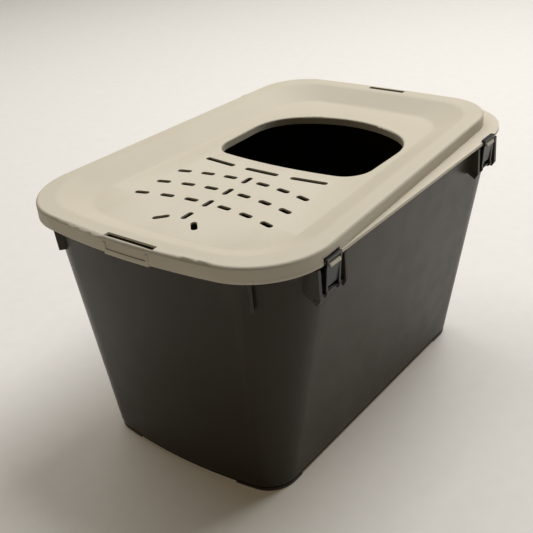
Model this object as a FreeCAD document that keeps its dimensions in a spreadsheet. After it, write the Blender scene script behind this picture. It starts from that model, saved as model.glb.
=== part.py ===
import FreeCAD, Part
import math
import os

from FreeCAD import Placement, Rotation, Vector

import Sketcher

# Top-entry cat litter box: a tapered tub, a dished lid with an entry hole, and
# four swing latches. X is the length, with the vented end of the lid at -X.
# Y is the width and Z is up. The origin is on the floor, under the middle of
# the lid's outline. All sizes are in millimetres and degrees.

os.makedirs("parts", exist_ok=True)
doc = FreeCAD.newDocument("litter_box")

DIMENSIONS = {
    # lid, outer outline and heights
    "lid_length": 575.0,
    "lid_width": 410.0,
    "lid_bottom": 317.5,
    "lid_top": 337.0,
    "ledge_height": 3.6,
    "lid_wall": 2.6,
    "near_bow": 916.0,
    "far_bow": 3000.0,
    "lid_near_corner": 91.0,
    "lid_far_corner": 94.0,
    # raised rim of the lid, which narrows towards the far end
    "rim_inset_far": 16.5,
    "rim_half_width": 193.5,
    "rim_taper": 3.4,
    "rim_far_corner": 72.0,
    "rim_band": 22.0,
    "rim_edge_round": 3.8,
    "dish_run": 34.0,
    "dish_depth": 15.0,
    "dish_blend": 14.0,
    # entry hole
    "hole_front": -15.0,
    "hole_back": 165.3,
    "hole_half_width": 115.8,
    "hole_front_bow": 690.0,
    "hole_back_bow": 164.0,
    "hole_front_corner": 34.5,
    "hole_back_corner": 67.0,
    "hole_shift": -7.6,
    "hole_lip_round": 2.5,
    "collar_depth": 8.0,
    # vents
    "vent_length": 20.0,
    "vent_width": 7.7,
    "vent_first": -71.0,
    "vent_pitch": 37.0,
    "vent_shift": -2.2,
    "rib_first": 25.7,
    "rib_pitch": 33.8,
    "rib_bow": 380.0,
    "fork_step": 17.0,
    "long_vent_length": 52.0,
    "long_vent_gap": 30.0,
    "long_vent_side": 70.5,
    # hand slots and the grip under the near one
    "slot_width": 7.5,
    "near_slot_length": 74.0,
    "near_slot_margin": 3.2,
    "near_slot_shift": -11.0,
    "far_slot_length": 58.0,
    "far_slot_margin": 6.8,
    "far_slot_shift": -4.8,
    "grip_length": 66.0,
    "grip_shift": -8.0,
    "grip_drop": 1.6,
    "grip_raise": 0.8,
    "grip_lip": 4.6,
    "grip_border": 3.0,
    "grip_height": 13.0,
    # tub
    "base_length": 461.5,
    "base_width": 287.5,
    "base_offset": -17.7,
    "base_bow": 690.0,
    "base_corner": 39.0,
    "mouth_length": 530.0,
    "mouth_width": 394.0,
    "mouth_corner": 73.0,
    "base_level": 4.0,
    "tub_top": 317.2,
    "tub_wall": 3.2,
    "tub_bead": 6.0,
    "upstand_height": 2.5,
    "upstand_margin": 8.0,
    "upstand_thickness": 4.5,
    "upstand_setback": 1.2,
    "base_round": 7.0,
    "floor_round": 5.0,
    # feet
    "foot_drop": 3.0,
    "foot_size": 62.0,
    "foot_inset": 1.5,
    "pad_inset": 32.0,
    "pad_radius": 11.0,
    "pad_height": 4.0,
    # support fins on the two near corners
    "fin_thickness": 3.5,
    "fin_bottom": 273.4,
    "fin_x": -249.5,
    "fin_y": 145.4,
    "fin_turn": 136.5,
    "fin_reach_low": 8.1,
    "fin_reach_high": 10.7,
    # latches
    "latch_near": -184.0,
    "latch_far": 178.0,
    "latch_width": 27.0,
    "pivot_reach": 200.0,
    "pivot_height": 283.0,
    "pin_radius": 2.5,
    "bore_radius": 2.55,
    "pin_length": 53.0,
    "lug_thickness": 5.0,
    "lug_spacing": 49.0,
}

sheet = doc.addObject("Spreadsheet::Sheet", "dims")
for row, (alias, value) in enumerate(DIMENSIONS.items(), start=1):
    sheet.set(f"A{row}", alias)
    sheet.set(f"B{row}", str(value))
    sheet.setAlias(f"B{row}", alias)
doc.recompute()


def dim(alias):
    """The value of one cell of the sheet."""
    return float(getattr(sheet, alias))


def bind(obj, prop, expression):
    """Bind a property to the sheet; each {alias} stands for its cell."""
    text = expression
    for alias in sorted(DIMENSIONS, key=len, reverse=True):
        text = text.replace("{" + alias + "}", f"dims.{alias}")
    obj.setExpression(prop, text)


# ---------------------------------------------------------------- outlines


class Outline:
    """A rounded outline, mirror-symmetric about the X axis.

    Each end is a shallow arc that crosses the axis at near_x or far_x, and the
    sides are straight. half_width is the distance from the origin to a side,
    which turns by taper degrees towards the axis as it runs to +X.
    """

    def __init__(self, near_x, far_x, half_width, taper, near_bow, far_bow, near_corner, far_corner):
        self.near_x = near_x
        self.far_x = far_x
        self.half_width = half_width
        self.taper = taper
        self.near_bow = near_bow
        self.far_bow = far_bow
        self.near_corner = near_corner
        self.far_corner = far_corner

    def inset(self, distance):
        """The parallel outline that lies the given distance inside."""
        return Outline(
            self.near_x + distance,
            self.far_x - distance,
            self.half_width - distance,
            self.taper,
            self.near_bow - distance,
            self.far_bow - distance,
            max(self.near_corner - distance, 8.0),
            max(self.far_corner - distance, 8.0),
        )

    def side_normal(self):
        """The outward normal of the side at -Y."""
        angle = math.radians(self.taper)
        return Vector(math.sin(angle), -math.cos(angle), 0)

    def corner_centre(self, bow_centre, bow, corner, end):
        """The centre of the -Y corner arc at the near (-1) or far (+1) end."""
        normal = self.side_normal()
        along = Vector(-normal.y, normal.x, 0)
        start = normal * (self.half_width - corner)
        gap = start - bow_centre
        half = gap.dot(along)
        rest = gap.dot(gap) - (bow - corner) ** 2
        return start + along * (-half + end * math.sqrt(half * half - rest))

    def geometry(self):
        """Four corner arcs, two end arcs and two sides, counter-clockwise."""
        near_centre = Vector(self.near_x + self.near_bow, 0, 0)
        far_centre = Vector(self.far_x - self.far_bow, 0, 0)
        near = self.corner_centre(near_centre, self.near_bow, self.near_corner, -1)
        far = self.corner_centre(far_centre, self.far_bow, self.far_corner, 1)
        side = math.degrees(math.atan2(self.side_normal().y, self.side_normal().x))
        near_turn = math.degrees(math.atan2((near - near_centre).y, (near - near_centre).x))
        far_turn = math.degrees(math.atan2((far - far_centre).y, (far - far_centre).x))
        lines_start = near + self.side_normal() * self.near_corner
        lines_end = far + self.side_normal() * self.far_corner
        return [
            arc(near_centre, self.near_bow, -near_turn, near_turn),
            arc(near, self.near_corner, near_turn, side),
            Part.LineSegment(lines_start, lines_end),
            arc(far, self.far_corner, side, far_turn),
            arc(far_centre, self.far_bow, far_turn, -far_turn),
            arc(flip(far), self.far_corner, -far_turn, -side),
            Part.LineSegment(flip(lines_end), flip(lines_start)),
            arc(flip(near), self.near_corner, -side, -near_turn),
        ]


def flip(point):
    """The mirror image of a point across the X axis."""
    return Vector(point.x, -point.y, point.z)


def arc(centre, radius, start, end):
    """A counter-clockwise arc between two directions in degrees."""
    circle = Part.Circle(centre, Vector(0, 0, 1), radius)
    return Part.ArcOfCircle(circle, math.radians(start), math.radians(end))


LID = Outline(
    -dim("lid_length") / 2,
    dim("lid_length") / 2,
    dim("lid_width") / 2,
    0,
    dim("near_bow"),
    dim("far_bow"),
    dim("lid_near_corner"),
    dim("lid_far_corner"),
)
RIM = Outline(
    -dim("lid_length") / 2,
    dim("lid_length") / 2 - dim("rim_inset_far"),
    dim("rim_half_width"),
    dim("rim_taper"),
    dim("near_bow"),
    dim("far_bow"),
    dim("lid_near_corner"),
    dim("rim_far_corner"),
)
HOLE = Outline(
    dim("hole_front"),
    dim("hole_back"),
    dim("hole_half_width"),
    0,
    dim("hole_front_bow"),
    dim("hole_back_bow"),
    dim("hole_front_corner"),
    dim("hole_back_corner"),
)
BASE = Outline(
    dim("base_offset") - dim("base_length") / 2,
    dim("base_offset") + dim("base_length") / 2,
    dim("base_width") / 2,
    0,
    dim("base_bow"),
    dim("far_bow"),
    dim("base_corner"),
    dim("base_corner"),
)
MOUTH = Outline(
    -dim("mouth_length") / 2,
    dim("mouth_length") / 2,
    dim("mouth_width") / 2,
    0,
    dim("near_bow"),
    dim("far_bow"),
    dim("mouth_corner"),
    dim("mouth_corner"),
)


# ---------------------------------------------------------------- sketches


def origin_plane(body, role):
    """One of a body's own base planes."""
    for feature in body.Origin.OriginFeatures:
        if feature.Role == role:
            return feature
    raise ValueError(role)


def new_sketch(body, name, level, shift="0"):
    """A sketch parallel to the floor; its height and sideways shift are expressions."""
    sketch = body.newObject("Sketcher::SketchObject", name)
    sketch.AttachmentSupport = [(origin_plane(body, "XY_Plane"), "")]
    sketch.MapMode = "FlatFace"
    bind(sketch, "AttachmentOffset.Base.y", shift)
    bind(sketch, "AttachmentOffset.Base.z", level)
    return sketch


def outline_sketch(body, name, level, outline, shift="0"):
    """A sketch of an outline, held by tangents, radii and its end positions."""
    sketch = new_sketch(body, name, level, shift)
    sketch.addGeometry(outline.geometry(), False)
    count = 8
    constraints = [Sketcher.Constraint("Tangent", i, 2, (i + 1) % count, 1) for i in range(count)]
    constraints += [
        Sketcher.Constraint("Symmetric", 2, 1, 6, 2, -1),
        Sketcher.Constraint("Symmetric", 2, 2, 6, 1, -1),
        Sketcher.Constraint("Equal", 1, 7),
        Sketcher.Constraint("Equal", 3, 5),
        Sketcher.Constraint("Radius", 0, outline.near_bow),
        Sketcher.Constraint("Radius", 4, outline.far_bow),
        Sketcher.Constraint("Radius", 1, outline.near_corner),
        Sketcher.Constraint("Radius", 3, outline.far_corner),
        Sketcher.Constraint("DistanceX", -1, 1, 0, 3, outline.near_x + outline.near_bow),
        Sketcher.Constraint("DistanceX", -1, 1, 4, 3, outline.far_x - outline.far_bow),
        Sketcher.Constraint("Distance", -1, 1, 2, outline.half_width),
    ]
    if outline.taper:
        constraints.append(Sketcher.Constraint("Angle", 2, math.radians(outline.taper)))
    else:
        constraints.append(Sketcher.Constraint("Horizontal", 2))
    sketch.addConstraint(constraints)
    return sketch


def pad(body, name, sketch, length):
    """Extrude a sketch upwards; length is an expression."""
    feature = body.newObject("PartDesign::Pad", name)
    feature.Profile = sketch
    bind(feature, "Length", length)
    return feature


def pocket(body, name, sketch, length, upwards):
    """Cut a sketch into the body, upwards or downwards."""
    feature = body.newObject("PartDesign::Pocket", name)
    feature.Profile = sketch
    feature.Reversed = upwards
    bind(feature, "Length", length)
    return feature


def loft(body, name, kind, lower, others):
    """A ruled loft from one outline sketch through the others."""
    feature = body.newObject(f"PartDesign::{kind}", name)
    feature.Profile = lower
    feature.Sections = others
    feature.Ruled = True
    return feature


def edges_where(shape, test):
    """The names of the edges whose bounding box passes a test."""
    return [f"Edge{i}" for i, edge in enumerate(shape.Edges, start=1) if test(edge.BoundBox)]


def at_level(level, slack=0.05):
    """A test for edges that lie at one height."""
    return lambda box: abs(box.ZMin - level) < slack and abs(box.ZMax - level) < slack


def fillet(body, name, test, radius):
    """Round the edges of the body's tip that pass a test."""
    doc.recompute()
    base = body.Tip
    feature = body.newObject("PartDesign::Fillet", name)
    feature.Base = (base, edges_where(base.Shape, test))
    bind(feature, "Radius", radius)
    doc.recompute()
    return feature


def add_body(name):
    """A PartDesign body with a label of its own."""
    body = doc.addObject("PartDesign::Body", name)
    body.Label = name
    return body


# ---------------------------------------------------------------- small solids


def box(name, size, corner):
    """A Part::Box; size and corner are three expressions each."""
    solid = doc.addObject("Part::Box", name)
    for prop, text in zip(("Length", "Width", "Height"), size):
        bind(solid, prop, text)
    for axis, text in zip("xyz", corner):
        bind(solid, f"Placement.Base.{axis}", text)
    return solid


def cylinder(name, radius, height, base, rotation=Rotation()):
    """A Part::Cylinder; radius, height and base are expressions."""
    solid = doc.addObject("Part::Cylinder", name)
    bind(solid, "Radius", radius)
    bind(solid, "Height", height)
    solid.Placement = Placement(Vector(), rotation)
    for axis, text in zip("xyz", base):
        bind(solid, f"Placement.Base.{axis}", text)
    return solid


def plate_along_x(name, points, start, thickness):
    """A flat piece cut to a (y, z) polygon, from start in X, as thick as given."""
    solid = doc.addObject("Part::Feature", name)
    corners = [Vector(start, y, z) for y, z in points]
    face = Part.Face(Part.makePolygon(corners + corners[:1]))
    solid.Shape = face.extrude(Vector(thickness, 0, 0))
    return solid


def fuse(name, solids):
    """Join several solids into one."""
    result = doc.addObject("Part::MultiFuse", name)
    result.Shapes = solids
    result.Refine = True
    return result


def cut(name, base, tool):
    """Cut one solid out of another."""
    result = doc.addObject("Part::Cut", name)
    result.Base = base
    result.Tool = tool
    result.Refine = True
    return result


LATCH_PLACES = {
    "near_right": ("{latch_near}", dim("latch_near"), -1),
    "near_left": ("{latch_near}", dim("latch_near"), 1),
    "far_right": ("{latch_far}", dim("latch_far"), -1),
    "far_left": ("{latch_far}", dim("latch_far"), 1),
}

# ---------------------------------------------------------------- tub

MOUTH_INNER_STEP = 1.0  # how far the wall's inner face leans in below the bead
BEAD_HEIGHT = 6.0
ROOT = 2.0  # how far a piece set on another one reaches into it
FIN_ROOT = 8.0  # the chamber's form trims what comes through the wall


def rounded_form(body, name, level, outline, radius, top_level, top_outline):
    """A tapered solid whose lower edge is rounded in steps of 30 degrees."""
    sections = []
    for step in range(4):
        angle = math.radians(30 * step)
        inset = dim(radius) * (1 - math.sin(angle))
        rise = 1 - math.cos(angle)
        sections.append(
            outline_sketch(
                body,
                f"{name}_section_{step}",
                f"{level} + {rise:.4f} * {{{radius}}}",
                outline.inset(inset),
            )
        )
    sections.append(outline_sketch(body, f"{name}_top", top_level, top_outline))
    return loft(body, name, "AdditiveLoft", sections[0], sections[1:])


def make_tub_block():
    """The tapered outer form of the tub, solid, with a rounded base edge."""
    body = add_body("tub_block")
    rounded_form(body, "tub_outside", "{base_level}", BASE, "base_round", "{tub_top}", MOUTH)
    return body


def make_tub_core():
    """The form of the litter chamber, up to the thicker bead round the mouth."""
    body = add_body("tub_core")
    wall = dim("tub_wall")
    rounded_form(
        body,
        "chamber",
        "{base_level} + {tub_wall}",
        BASE.inset(wall),
        "floor_round",
        f"{{tub_top}} - {BEAD_HEIGHT}",
        MOUTH.inset(wall + MOUTH_INNER_STEP),
    )
    mouth = outline_sketch(
        body, "bead_outline", f"{{tub_top}} - {BEAD_HEIGHT} - 1", MOUTH.inset(dim("tub_bead"))
    )
    pad(body, "mouth_opening", mouth, f"{BEAD_HEIGHT} + 2")
    return body


def make_feet():
    """Four shallow corner feet that follow the outline of the base."""
    body = add_body("foot_plate")
    level = "{base_level} - {foot_drop}"
    outline = outline_sketch(body, "foot_outline", level, BASE.inset(dim("foot_inset")))
    pad(body, "foot_layer", outline, "{foot_drop} + {foot_inset}")
    lengthwise_gap = box(
        "lengthwise_gap",
        ("{base_length} - 2 * {foot_size}", "{base_width}", "{foot_drop}"),
        (
            "{base_offset} - {base_length} / 2 + {foot_size}",
            "-{base_width} / 2",
            level,
        ),
    )
    crosswise_gap = box(
        "crosswise_gap",
        ("{base_length}", "{base_width} - 2 * {foot_size}", "{foot_drop}"),
        (
            "{base_offset} - {base_length} / 2",
            "-{base_width} / 2 + {foot_size}",
            level,
        ),
    )
    gaps = fuse("foot_gaps", [lengthwise_gap, crosswise_gap])
    return cut("corner_feet", body, gaps)


FEET = {
    f"{end}_{side}": (
        f"{{base_offset}} {x_sign} ({{base_length}} / 2 - {{pad_inset}})",
        f"{y_sign} ({{base_width}} / 2 - {{pad_inset}})",
    )
    for end, x_sign in (("near", "-"), ("far", "+"))
    for side, y_sign in (("right", "-"), ("left", "0 +"))
}
PAD_CLEARANCE = 0.1

LUG_PROFILE = ((12.0, 33.0), (-5.0, 33.0), (-5.0, -3.0), (-1.0, -9.0), (19.0, 4.0))


def at_pivot(profile, side):
    """Turn (outward-from-pivot, height) points into (y, z), at side -1 or +1."""
    reach = dim("pivot_reach")
    return [(side * (reach - y), dim("pivot_height") + z) for y, z in profile]


def make_lugs():
    """Two lugs for each latch, standing out from the tub's side walls."""
    lugs = []
    half = dim("lug_spacing") / 2
    for place, (_, middle, side) in LATCH_PLACES.items():
        for end, offset in (("a", -half), ("b", half)):
            start = middle + offset - dim("lug_thickness") / 2
            points = at_pivot(LUG_PROFILE, side)
            lugs.append(plate_along_x(f"lug_{place}_{end}", points, start, dim("lug_thickness")))
    return lugs


def make_corner_fins():
    """An upright fin on each near corner, square to the corner's curve, under the lid's edge."""
    fins = []
    low = dim("fin_bottom")
    high = dim("tub_top")
    half = dim("fin_thickness") / 2
    profile = (
        (-FIN_ROOT, low),
        (dim("fin_reach_low"), low),
        (dim("fin_reach_high"), high),
        (-FIN_ROOT, high),
    )
    corners = [Vector(out, -half, up) for out, up in profile]
    for name, side in (("right", -1), ("left", 1)):
        fin = doc.addObject("Part::Feature", f"fin_{name}")
        face = Part.Face(Part.makePolygon(corners + corners[:1]))
        fin.Shape = face.extrude(Vector(0, 2 * half, 0))
        base = Vector(dim("fin_x"), side * dim("fin_y"), 0)
        fin.Placement = Placement(base, Rotation(Vector(0, 0, 1), side * dim("fin_turn")))
        fins.append(fin)
    return fins


def make_pivot_bores():
    """One bore through each pair of lugs."""
    bores = []
    for place, (middle, _, side) in LATCH_PLACES.items():
        bores.append(
            cylinder(
                f"pivot_bore_{place}",
                "{bore_radius}",
                "{lug_spacing} + 2 * {lug_thickness}",
                (
                    f"{middle} - {{lug_spacing}} / 2 - {{lug_thickness}}",
                    f"{side} * {{pivot_reach}}",
                    "{pivot_height}",
                ),
                Rotation(Vector(0, 1, 0), 90),
            )
        )
    return bores


def make_tub():
    """The tub in one piece with its feet, lugs, corner fins and near-end upstand."""
    forms = [make_tub_block(), make_feet()] + make_lugs() + make_corner_fins()
    shell = cut("tub_shell", fuse("tub_outer_form", forms), make_tub_core())
    upstand = box(
        "near_upstand",
        (
            "{upstand_thickness}",
            "{near_slot_length} + 2 * {upstand_margin}",
            f"{{upstand_height}} + {ROOT}",
        ),
        (
            "-{mouth_length} / 2 + {upstand_setback}",
            "{near_slot_shift} - {near_slot_length} / 2 - {upstand_margin}",
            f"{{tub_top}} - {ROOT}",
        ),
    )
    solid = fuse("tub_solid", [shell, upstand])
    recesses = [
        cylinder(
            f"pad_recess_{place}",
            f"{{pad_radius}} + {PAD_CLEARANCE}",
            "{foot_drop}",
            (x, y, "{base_level} - {foot_drop}"),
        )
        for place, (x, y) in FEET.items()
    ]
    return cut("tub", solid, fuse("tub_cutters", recesses + make_pivot_bores()))


def make_foot_pads():
    """The four rubber pads, one in each corner foot."""
    return [
        cylinder(f"foot_pad_{place}", "{pad_radius}", "{pad_height}", (x, y, "0"))
        for place, (x, y) in FEET.items()
    ]


# ---------------------------------------------------------------- lid

DISH_FLOOR = "{lid_top} - {dish_depth}"


def dish_outline(distance):
    """An outline inside the rim whose corners stay generously rounded."""
    outline = RIM.inset(distance)
    outline.near_corner = RIM.near_corner - distance / 2
    outline.far_corner = RIM.far_corner - distance / 3
    return outline


def make_lid_shell():
    """The lid's shell: ledge, raised rim, dished floor and the hole's collar."""
    body = add_body("lid_shell")
    pad(body, "ledge", outline_sketch(body, "ledge_outline", "{lid_bottom}", LID), "{ledge_height}")
    rim = outline_sketch(body, "rim_outline", "{lid_bottom}", RIM)
    pad(body, "rim_block", rim, "{lid_top} - {lid_bottom}")
    fillet(body, "rim_edge", at_level(dim("lid_top")), "{rim_edge_round}")
    wall = dim("lid_wall")
    inside = outline_sketch(body, "cavity_outline", "{lid_bottom}", RIM.inset(wall))
    pocket(body, "cavity", inside, "{lid_top} - {lid_bottom} - {lid_wall}", upwards=True)

    band = dim("rim_band")
    low = band + dim("dish_run")
    basin_top = outline_sketch(body, "basin_top", "{lid_top}", dish_outline(band - wall))
    basin_low = outline_sketch(
        body, "basin_floor", DISH_FLOOR + " - {lid_wall}", dish_outline(low - wall)
    )
    loft(body, "basin", "AdditiveLoft", basin_low, [basin_top])
    dish_top = outline_sketch(body, "dish_top", "{lid_top}", dish_outline(band))
    dish_low = outline_sketch(body, "dish_floor", DISH_FLOOR, dish_outline(low))
    loft(body, "dish", "SubtractiveLoft", dish_low, [dish_top])

    brow = at_level(dim("lid_top"))
    fillet(body, "dish_brow", lambda b: brow(b) and inside_band(b), "{dish_blend}")
    fillet(body, "dish_toe", at_level(dim("lid_top") - dim("dish_depth")), "{dish_blend}")

    collar = outline_sketch(
        body,
        "collar_outline",
        DISH_FLOOR + " - {lid_wall} - {collar_depth}",
        HOLE.inset(-wall),
        "{hole_shift}",
    )
    pad(body, "collar", collar, "{lid_wall} + {collar_depth}")
    hole = outline_sketch(body, "hole_outline", DISH_FLOOR, HOLE, "{hole_shift}")
    pocket(body, "entry_hole", hole, "{lid_wall} + {collar_depth} + 1", upwards=False)
    floor = at_level(dim("lid_top") - dim("dish_depth"))
    fillet(body, "hole_lip", lambda b: floor(b) and inside_hole(b), "{hole_lip_round}")
    pocket(body, "vents", vent_sketch(body), "{lid_wall} + 3", upwards=False)
    return body


def inside_band(bounds):
    """Whether an edge at rim height lies on the dish's side of the rim band."""
    middle = RIM.inset(dim("rim_band") / 2)
    in_length = bounds.XMin > middle.near_x and bounds.XMax < middle.far_x
    return in_length and bounds.YMax < dim("rim_half_width")


def inside_hole(bounds):
    """Whether an edge at floor height belongs to the entry hole."""
    clear = 2.0
    in_length = bounds.XMin > dim("hole_front") - clear and bounds.XMax < dim("hole_back") + clear
    return in_length and bounds.YMax < dim("hole_half_width") + clear


def slot_outline(centre, length, width, angle):
    """A round-ended slot: its two ends and two sides."""
    along = Vector(math.cos(math.radians(angle)), math.sin(math.radians(angle)), 0)
    across = Vector(-along.y, along.x, 0)
    reach = along * ((length - width) / 2)
    half = across * (width / 2)
    head = centre + reach
    tail = centre - reach
    return [
        arc(head, width / 2, angle - 90, angle + 90),
        Part.LineSegment(head + half, tail + half),
        arc(tail, width / 2, angle + 90, angle + 270),
        Part.LineSegment(tail - half, head - half),
    ]


def vent_sketch(body):
    """The vents: three columns of ribs on a spine, a fork, and three long slots."""
    sketch = new_sketch(body, "vent_slots", DISH_FLOOR, "{vent_shift}")
    length = dim("vent_length")
    spine_length = length - 1
    bow = dim("rib_bow")
    spread = 0.9  # the ribs stand a little wider apart in each further column
    slots = []
    for column in range(3):
        spine = dim("vent_first") - column * dim("vent_pitch")
        slots.append((Vector(spine, 0, 0), spine_length, 0))
        for rib in range(3):
            y = dim("rib_first") + rib * (dim("rib_pitch") + column * spread)
            turn = math.asin(y / bow)
            x = spine + bow * (math.cos(turn) - 1)
            for side in (-1, 1):
                slots.append((Vector(x, side * y, 0), length, 90 + side * math.degrees(turn)))
    tail = dim("vent_first") - 3 * dim("vent_pitch")
    slots.append((Vector(tail, 0, 0), spine_length, 0))
    fork_angle = 44.0
    for side in (-1, 1):
        centre = Vector(tail - dim("fork_step"), side * dim("rib_first"), 0)
        slots.append((centre, length + 1, -side * fork_angle))
    long_x = dim("vent_first") + dim("long_vent_gap")
    long_length = dim("long_vent_length")
    long_turn = 5.5
    long_rise = 3.0
    slots.append((Vector(long_x, 0, 0), long_length, 90))
    for side in (-1, 1):
        centre = Vector(long_x + long_rise, side * dim("long_vent_side"), 0)
        slots.append((centre, long_length, 90 - side * long_turn))
    for centre, slot_length, angle in slots:
        sketch.addGeometry(slot_outline(centre, slot_length, dim("vent_width"), angle), False)
    return sketch


NOSE_HALF_WIDTH = 9.5
NOTCH_HALF_WIDTH = 15.0
# profiles run (towards the tub, up) from the latch's pivot
NOSE_PROFILE = (
    (1.3, 37.3),
    (-4.5, 37.3),
    (-7.6, 35.4),
    (-9.4, 33.4),
    (-9.4, 31.5),
    (-3.0, 31.5),
    (1.3, 34.5),
)
NOTCH_PROFILE = ((-2.2, 30.0), (-2.2, 38.1), (0.6, 38.1), (0.6, 43.0), (-9.0, 43.0), (-9.0, 30.0))
STOP_RIB_THICKNESS = 2.4
END_RIB_Y = 90.0
SIDE_RIB_X = -120.0
# profiles run (out from the tub's mouth, up from the lid's bottom edge)
RIB_HANG = ((0.0, 0.0), (-7.2, 0.0), (-7.2, -9.0), (-14.5, -9.0))
NEAR_RIB_PROFILE = RIB_HANG + ((-14.5, 11.0), (0.0, 17.5), (16.0, 17.5), (16.0, 0.0))
FAR_RIB_PROFILE = RIB_HANG + ((-14.5, 17.5), (4.5, 17.5), (4.5, 0.0))
SIDE_RIB_PROFILE = RIB_HANG + ((-14.5, 17.5), (2.0, 17.5), (2.0, 0.0))


def make_noses():
    """The wedges on the lid's edge that the latches hook over."""
    width = 2 * NOSE_HALF_WIDTH
    return [
        plate_along_x(f"nose_{p}", at_pivot(NOSE_PROFILE, s), x - NOSE_HALF_WIDTH, width)
        for p, (_, x, s) in LATCH_PLACES.items()
    ]


def make_notches():
    """The cut-outs in the ledge that the latches' top bars swing into."""
    width = 2 * NOTCH_HALF_WIDTH
    return [
        plate_along_x(f"notch_{p}", at_pivot(NOTCH_PROFILE, s), x - NOTCH_HALF_WIDTH, width)
        for p, (_, x, s) in LATCH_PLACES.items()
    ]


def make_hand_slots():
    """The slot in the rim at each end."""
    clear = 3.0
    height = f"{{lid_wall}} + 2 * {clear}"
    level = f"{{lid_top}} - {{lid_wall}} - {clear}"
    starts = {
        "near": "-{lid_length} / 2 + {near_slot_margin}",
        "far": "{lid_length} / 2 - {rim_inset_far} - {far_slot_margin} - {slot_width}",
    }
    slots = []
    for end, start in starts.items():
        size = ("{slot_width}", f"{{{end}_slot_length}}", height)
        side = f"{{{end}_slot_shift}} - {{{end}_slot_length}} / 2"
        slots.append(box(f"{end}_hand_slot", size, (start, side, level)))
    return slots


def make_grips():
    """The thumb grips on the lid's edge: a lip at each end, with two borders at the near one."""
    band = add_body("grip_band")
    outline = LID.inset(-dim("grip_raise"))
    level = "{lid_bottom} - {grip_drop}"
    height = "{grip_drop} + {grip_height}"
    pad(band, "grip_layer", outline_sketch(band, "grip_outline", level, outline), height)
    depth = "{lid_wall} + 2 * {grip_raise}"
    near_x = "-{lid_length} / 2 - 2 * {grip_raise}"
    start = "{grip_shift} - {grip_length} / 2"
    end = "{grip_shift} + {grip_length} / 2 - {grip_border}"
    lip = "{grip_drop} + {grip_lip}"
    pieces = [
        box("near_grip_lip", (depth, "{grip_length}", lip), (near_x, start, level)),
        box("near_grip_border_a", (depth, "{grip_border}", height), (near_x, start, level)),
        box("near_grip_border_b", (depth, "{grip_border}", height), (near_x, end, level)),
        box(
            "far_grip_lip",
            (depth, "{far_slot_length}", "{grip_drop} + {ledge_height}"),
            (
                "{lid_length} / 2 - {lid_wall}",
                "{far_slot_shift} - {far_slot_length} / 2",
                level,
            ),
        ),
    ]
    grips = doc.addObject("Part::Common", "grips")
    grips.Base = band
    grips.Tool = fuse("grip_places", pieces)
    return grips


def make_stop_ribs():
    """Six ribs that rest over the tub's bead and keep the lid centred."""
    ribs = []
    mouth_x = dim("mouth_length") / 2 - END_RIB_Y**2 / (2 * dim("near_bow"))
    far_x = dim("mouth_length") / 2 - END_RIB_Y**2 / (2 * dim("far_bow"))
    mouth_y = dim("mouth_width") / 2
    places = {
        "near_right": (Vector(-mouth_x, -END_RIB_Y, 0), 180, NEAR_RIB_PROFILE),
        "near_left": (Vector(-mouth_x, END_RIB_Y, 0), 180, NEAR_RIB_PROFILE),
        "far_right": (Vector(far_x, -END_RIB_Y, 0), 0, FAR_RIB_PROFILE),
        "far_left": (Vector(far_x, END_RIB_Y, 0), 0, FAR_RIB_PROFILE),
        "side_right": (Vector(SIDE_RIB_X, -mouth_y, 0), -90, SIDE_RIB_PROFILE),
        "side_left": (Vector(SIDE_RIB_X, mouth_y, 0), 90, SIDE_RIB_PROFILE),
    }
    for place, (base, angle, profile) in places.items():
        corners = [Vector(out, -STOP_RIB_THICKNESS / 2, up) for out, up in profile]
        face = Part.Face(Part.makePolygon(corners + corners[:1]))
        rib = doc.addObject("Part::Feature", f"stop_rib_{place}")
        rib.Shape = face.extrude(Vector(0, STOP_RIB_THICKNESS, 0))
        base.z = dim("lid_bottom")
        rib.Placement = Placement(base, Rotation(Vector(0, 0, 1), angle))
        ribs.append(rib)
    return ribs


def make_lid():
    """The lid in one piece."""
    solid = fuse("lid_solid", [make_lid_shell(), make_grips()] + make_stop_ribs())
    notched = cut("lid_notched", solid, fuse("lid_cutters", make_notches() + make_hand_slots()))
    return fuse("lid", [notched] + make_noses())


# ---------------------------------------------------------------- latches

# profiles run (towards the tub, up) from the pivot
PLATE_PROFILE = (
    (-2.6, 6.5),
    (-8.7, 41.0),
    (-2.8, 41.0),
    (-2.8, 38.5),
    (-5.8, 38.5),
    (-0.2, 6.5),
)
CHEEK_PROFILE = ((-6.4, 28.0), (-1.6, 28.0), (4.0, 4.0), (3.5, -2.0), (-1.5, -4.4), (-3.6, -1.0))
WINDOW_PROFILE = ((0.0, 30.6), (0.0, 38.5), (-9.9, 38.5), (-9.9, 30.6))
WINDOW_HALF_WIDTH = 10.3
CHEEK_THICKNESS = 3.0
HUB_RADIUS = "4.6"


def make_latch_shape():
    """One latch about its pivot: hooked plate, two cheeks, hubs and the pin."""
    half = dim("latch_width") / 2
    plate = plate_along_x("latch_plate", PLATE_PROFILE, -half, 2 * half)
    window = plate_along_x(
        "latch_window", WINDOW_PROFILE, -WINDOW_HALF_WIDTH, 2 * WINDOW_HALF_WIDTH
    )
    solids = [cut("latch_frame", plate, window)]
    turn = Rotation(Vector(0, 1, 0), 90)
    for end, start in (("a", -half), ("b", half - CHEEK_THICKNESS)):
        solids.append(plate_along_x(f"cheek_{end}", CHEEK_PROFILE, start, CHEEK_THICKNESS))
        hub = cylinder(f"hub_{end}", HUB_RADIUS, str(CHEEK_THICKNESS), (str(start), "0", "0"), turn)
        solids.append(hub)
    pin = cylinder("pin", "{pin_radius}", "{pin_length}", ("-{pin_length} / 2", "0", "0"), turn)
    return fuse("latch_shape", solids + [pin])


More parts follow.
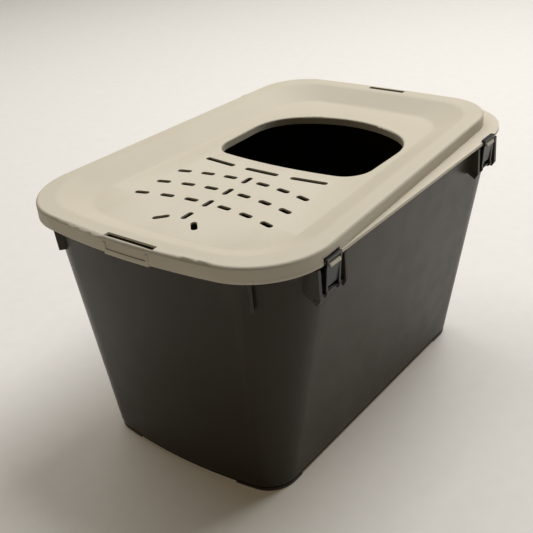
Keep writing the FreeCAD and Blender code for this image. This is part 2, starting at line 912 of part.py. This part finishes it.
def make_latches():
    """The four latches, all one shape, each placed at its pivot."""
    pattern = make_latch_shape()
    doc.recompute()
    latches = []
    for place, (_, middle, side) in LATCH_PLACES.items():
        latch = doc.addObject("Part::Feature", f"latch_{place}")
        latch.Shape = pattern.Shape
        turn = Rotation(Vector(0, 0, 1), 0 if side < 0 else 180)
        position = Vector(middle, side * dim("pivot_reach"), dim("pivot_height"))
        latch.Placement = Placement(position, turn)
        latches.append(latch)
    return latches


# ---------------------------------------------------------------- build and export

NODES = [make_tub(), make_lid()] + make_foot_pads() + make_latches()
doc.recompute()

for item in doc.Objects:
    if "Invalid" in item.State or "Error" in item.State:
        raise RuntimeError(f"{item.Label} failed: {item.State}")

for node in NODES:
    shape = node.Shape
    if shape.isNull() or not shape.isValid() or not shape.Solids:
        raise RuntimeError(f"{node.Label} has no valid shape")
    node.Label = node.Name
    shape.exportStep(f"parts/{node.Label}.step")
    bounds = shape.BoundBox
    print(
        f"{node.Label}: {len(shape.Solids)} solid, {shape.Volume / 1000:.1f} cm3, "
        f"x {bounds.XMin:.1f}..{bounds.XMax:.1f}, y {bounds.YMin:.1f}..{bounds.YMax:.1f}, "
        f"z {bounds.ZMin:.1f}..{bounds.ZMax:.1f}"
    )
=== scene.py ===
import math

import bpy
from mathutils import Matrix, Vector


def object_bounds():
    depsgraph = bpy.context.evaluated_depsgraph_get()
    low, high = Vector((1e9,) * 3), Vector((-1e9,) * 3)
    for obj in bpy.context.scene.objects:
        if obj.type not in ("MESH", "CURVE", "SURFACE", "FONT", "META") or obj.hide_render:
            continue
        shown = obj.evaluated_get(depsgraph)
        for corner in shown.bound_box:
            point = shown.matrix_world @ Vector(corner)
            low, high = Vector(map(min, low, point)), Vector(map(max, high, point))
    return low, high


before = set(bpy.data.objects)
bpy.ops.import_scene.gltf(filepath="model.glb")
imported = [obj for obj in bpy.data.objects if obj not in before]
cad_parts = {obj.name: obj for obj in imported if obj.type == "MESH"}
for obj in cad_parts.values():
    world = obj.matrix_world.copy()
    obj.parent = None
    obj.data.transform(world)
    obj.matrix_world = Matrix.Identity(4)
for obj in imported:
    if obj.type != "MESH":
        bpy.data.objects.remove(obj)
cad_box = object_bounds()

# ---------------------------------------------------------------- materials

EDGE_RADIUS = 0.0009
EDGE_SAMPLES = 6
PLASTIC_IOR = 1.49

# Pointiness where an outer edge begins to look worn and lit by a painted sheen, and where
# both are full.
WEAR_AND_SHEEN_START = 0.52
WEAR_AND_SHEEN_FULL = 0.60

# Dust is the plastic's colour times the gain plus the lift, and covers it this far at most.
DUST_GAIN = 1.5
DUST_LIFT = 0.01
DUST_COVER = 0.08

# The sockets of a Mix node have the same names for every data type, so the ones
# for colours are found by their places.
MIX_FACTOR = 0
MIX_FIRST = 6
MIX_SECOND = 7
MIX_RESULT = 2


class NodeTree:
    """A material's nodes, with short ways to add and link them."""

    def __init__(self, name):
        self.material = bpy.data.materials.new(name)
        self.material.use_nodes = True
        self.nodes = self.material.node_tree.nodes
        self.links = self.material.node_tree.links
        self.shader = self.nodes["Principled BSDF"]
        self.coordinates = self.nodes.new("ShaderNodeTexCoord").outputs["Object"]

    def add(self, kind, **inputs):
        """A new node; an underscore in an input's name stands for a space."""
        node = self.nodes.new(kind)
        for key, value in inputs.items():
            node.inputs[key.replace("_", " ")].default_value = value
        return node

    def noise(self, scale, detail=2.0, roughness=0.5):
        """A noise pattern with about scale features per metre, as a factor."""
        node = self.add("ShaderNodeTexNoise", Scale=scale, Detail=detail, Roughness=roughness)
        self.links.new(self.coordinates, node.inputs["Vector"])
        return node.outputs["Fac"]

    def remap(self, factor, low, high, to_low=0.0, to_high=1.0):
        """The factor's range low..high spread over to_low..to_high."""
        node = self.add(
            "ShaderNodeMapRange", From_Min=low, From_Max=high, To_Min=to_low, To_Max=to_high
        )
        self.links.new(factor, node.inputs["Value"])
        return node.outputs["Result"]

    def mix(self, factor, first, second):
        """A colour mix by a factor socket; each colour is a socket or three numbers."""
        node = self.nodes.new("ShaderNodeMix")
        node.data_type = "RGBA"
        self.links.new(factor, node.inputs[MIX_FACTOR])
        for place, colour in ((MIX_FIRST, first), (MIX_SECOND, second)):
            if isinstance(colour, tuple):
                node.inputs[place].default_value = (*colour, 1.0)
            else:
                self.links.new(colour, node.inputs[place])
        return node.outputs[MIX_RESULT]

    def bump(self, height, distance, strength, normal):
        """A bump over normal; distance is the depth of the height pattern in metres."""
        node = self.add("ShaderNodeBump", Strength=strength, Distance=distance)
        self.links.new(height, node.inputs["Height"])
        self.links.new(normal, node.inputs["Normal"])
        return node.outputs["Normal"]

    def rounded_edges(self):
        """A normal that makes every edge look rounded."""
        node = self.add("ShaderNodeBevel", Radius=EDGE_RADIUS)
        node.samples = EDGE_SAMPLES
        return node.outputs["Normal"]

    def worn_and_sheen_edges(self):
        """1 on sharp outer edges, 0 on flat and hollow places: where wear and a painted sheen
        lighten the plastic.
        """
        pointiness = self.nodes.new("ShaderNodeNewGeometry").outputs["Pointiness"]
        return self.remap(pointiness, WEAR_AND_SHEEN_START, WEAR_AND_SHEEN_FULL)

    def set_shader(self, **inputs):
        """Set or link the shader's inputs; an underscore stands for a space."""
        for key, value in inputs.items():
            socket = self.shader.inputs[key.replace("_", " ")]
            if isinstance(value, bpy.types.NodeSocket):
                self.links.new(value, socket)
            else:
                socket.default_value = value


def moulded_plastic(name, colour, shade, roughness, specular, grain, wear_and_sheen):
    """Injection-moulded plastic: fine grain, faint clouding, rounded edges lightened by wear
    and a painted sheen.

    grain is the pair (features per metre, depth in metres) of the surface texture.
    """
    tree = NodeTree(name)
    clouds = tree.remap(tree.noise(scale=9.0, detail=4.0), low=0.35, high=0.65)
    clouded = tree.mix(clouds, colour, shade)
    specks = tree.noise(scale=420.0, detail=3.0, roughness=0.7)
    dust = tree.remap(specks, low=0.55, high=0.8, to_high=DUST_COVER)
    dusty = tree.mix(dust, clouded, tuple(c * DUST_GAIN + DUST_LIFT for c in colour))
    # Sharp outer edges get a lighter colour: partly wear, partly a painted sheen.
    base = tree.mix(tree.worn_and_sheen_edges(), dusty, wear_and_sheen)

    smears = tree.noise(scale=30.0, detail=5.0, roughness=0.6)
    gloss = tree.remap(smears, 0.3, 0.7, to_low=roughness - 0.04, to_high=roughness + 0.05)

    grain_scale, grain_depth = grain
    texture = tree.noise(grain_scale, detail=2.0, roughness=0.6)
    normal = tree.bump(texture, grain_depth, strength=0.5, normal=tree.rounded_edges())
    waves = tree.noise(scale=18.0, detail=1.0)
    normal = tree.bump(waves, distance=0.0006, strength=0.15, normal=normal)

    tree.set_shader(Base_Color=base, Roughness=gloss, Normal=normal)
    tree.set_shader(IOR=PLASTIC_IOR, Specular_IOR_Level=specular)
    return tree.material


LID_PLASTIC = moulded_plastic(
    "lid_plastic",
    colour=(0.60, 0.548, 0.44),
    shade=(0.585, 0.534, 0.428),
    roughness=0.55,
    specular=0.3,
    grain=(1500.0, 0.00012),
    wear_and_sheen=(0.65, 0.60, 0.49),
)
TUB_PLASTIC = moulded_plastic(
    "tub_plastic",
    colour=(0.035, 0.026, 0.016),
    shade=(0.032, 0.024, 0.0145),
    roughness=0.34,
    specular=0.22,
    grain=(1200.0, 0.00008),
    wear_and_sheen=(0.055, 0.045, 0.034),
)
LATCH_PLASTIC = moulded_plastic(
    "latch_plastic",
    colour=(0.014, 0.014, 0.013),
    shade=(0.011, 0.011, 0.010),
    roughness=0.34,
    specular=0.5,
    grain=(1800.0, 0.00008),
    wear_and_sheen=(0.030, 0.030, 0.028),
)
PAD_RUBBER = moulded_plastic(
    "pad_rubber",
    colour=(0.055, 0.055, 0.055),
    shade=(0.045, 0.045, 0.045),
    roughness=0.8,
    specular=0.3,
    grain=(900.0, 0.0002),
    wear_and_sheen=(0.09, 0.09, 0.09),
)


def paint(node, material):
    """Give a CAD node its material."""
    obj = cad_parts[node]
    if not obj.material_slots:
        obj.data.materials.append(material)
    for slot in obj.material_slots:
        slot.material = material


paint("lid", LID_PLASTIC)
paint("tub", TUB_PLASTIC)
for corner in ("near_right", "near_left", "far_right", "far_left"):
    paint(f"latch_{corner}", LATCH_PLASTIC)
    paint(f"foot_pad_{corner}", PAD_RUBBER)

# ---------------------------------------------------------------- stage

FLOOR_WIDTH = 30.0
FLOOR_COLOUR = (0.72, 0.71, 0.69)
FLOOR_CLOUD_COLOUR = (0.74, 0.73, 0.71)
FLOOR_GLOW_COLOUR = (1.0, 0.80, 0.52, 1)
FLOOR_GLOW_STRENGTH = 0.08

WORLD_COLOUR = (1.0, 0.80, 0.50, 1)
WORLD_STRENGTH = 0.02
LIGHT_TARGET = (0, 0, 0.2)
NEUTRAL = (1.0, 0.985, 0.965)
WARM = (1.0, 0.78, 0.45)

# Each softbox: name, position and side in metres, power in watts, colour.
LIGHTS = (
    ("side_softbox", (1.9, -0.4, 3.35), 2.4, 134, NEUTRAL),
    ("back_softbox", (0.6, 1.9, 3.35), 2.4, 50, NEUTRAL),
    ("left_softbox", (-2.4, 1.0, 0.9), 1.2, 2.0, WARM),
)

# Found by fitting the built part to the photograph: metres, degrees, millimetres.
CAMERA_POSITION = (-0.8387, -0.6689, 0.7554)
CAMERA_AZIMUTH = -49.8
CAMERA_ELEVATION = 28.71
CAMERA_ROLL = -5.70
CAMERA_LENS = 60.05
CAMERA_SENSOR = 36.0


def make_floor():
    """A plain pale floor that glows faintly warm: painted light that lifts its shadow and
    sends a little light onto the part.
    """
    bpy.ops.mesh.primitive_plane_add(size=FLOOR_WIDTH, location=(0, 0, cad_box[0][2]))
    floor = bpy.context.object
    floor.name = "floor"
    tree = NodeTree("floor_acrylic")
    clouds = tree.remap(tree.noise(scale=40.0, detail=4.0), low=0.3, high=0.7)
    colour = tree.mix(clouds, FLOOR_COLOUR, FLOOR_CLOUD_COLOUR)
    tree.set_shader(Base_Color=colour, Roughness=0.9, Specular_IOR_Level=0.1)
    # The floor's own glow is painted light, not a lamp below it.
    tree.set_shader(Emission_Color=FLOOR_GLOW_COLOUR, Emission_Strength=FLOOR_GLOW_STRENGTH)
    floor.data.materials.append(tree.material)


def make_softbox(name, position, side, power, colour):
    """A square area light at position that faces the part."""
    data = bpy.data.lights.new(name, "AREA")
    data.shape = "SQUARE"
    data.size = side
    data.energy = power
    data.color = colour
    lamp = bpy.data.objects.new(name, data)
    bpy.context.scene.collection.objects.link(lamp)
    lamp.location = position
    aim = Vector(LIGHT_TARGET) - Vector(position)
    lamp.rotation_euler = aim.to_track_quat("-Z", "Y").to_euler()


def make_lights():
    """Two large softboxes high above, a faint warm one at the left, and a dim world."""
    world = bpy.data.worlds.new("studio")
    bpy.context.scene.world = world
    world.use_nodes = True
    background = world.node_tree.nodes["Background"]
    background.inputs["Color"].default_value = WORLD_COLOUR
    background.inputs["Strength"].default_value = WORLD_STRENGTH
    for light in LIGHTS:
        make_softbox(*light)
    bpy.context.scene.view_settings.view_transform = "Standard"


def make_camera():
    """The camera above the vented near corner, slightly rolled."""
    azimuth = math.radians(CAMERA_AZIMUTH)
    elevation = math.radians(CAMERA_ELEVATION)
    roll = math.radians(CAMERA_ROLL)
    flat = math.cos(elevation)
    back = Vector((math.sin(azimuth) * flat, -math.cos(azimuth) * flat, math.sin(elevation)))
    right = Vector((math.cos(azimuth), math.sin(azimuth), 0))
    up = back.cross(right)
    rolled_right = right * math.cos(roll) + up * math.sin(roll)
    rolled_up = up * math.cos(roll) - right * math.sin(roll)
    turn = Matrix((rolled_right, rolled_up, back)).transposed()
    data = bpy.data.cameras.new("camera")
    data.sensor_width = CAMERA_SENSOR
    data.lens = CAMERA_LENS
    camera = bpy.data.objects.new("camera", data)
    bpy.context.scene.collection.objects.link(camera)
    camera.matrix_world = Matrix.Translation(CAMERA_POSITION) @ turn.to_4x4()
    bpy.context.scene.camera = camera


make_floor()
make_lights()
make_camera()
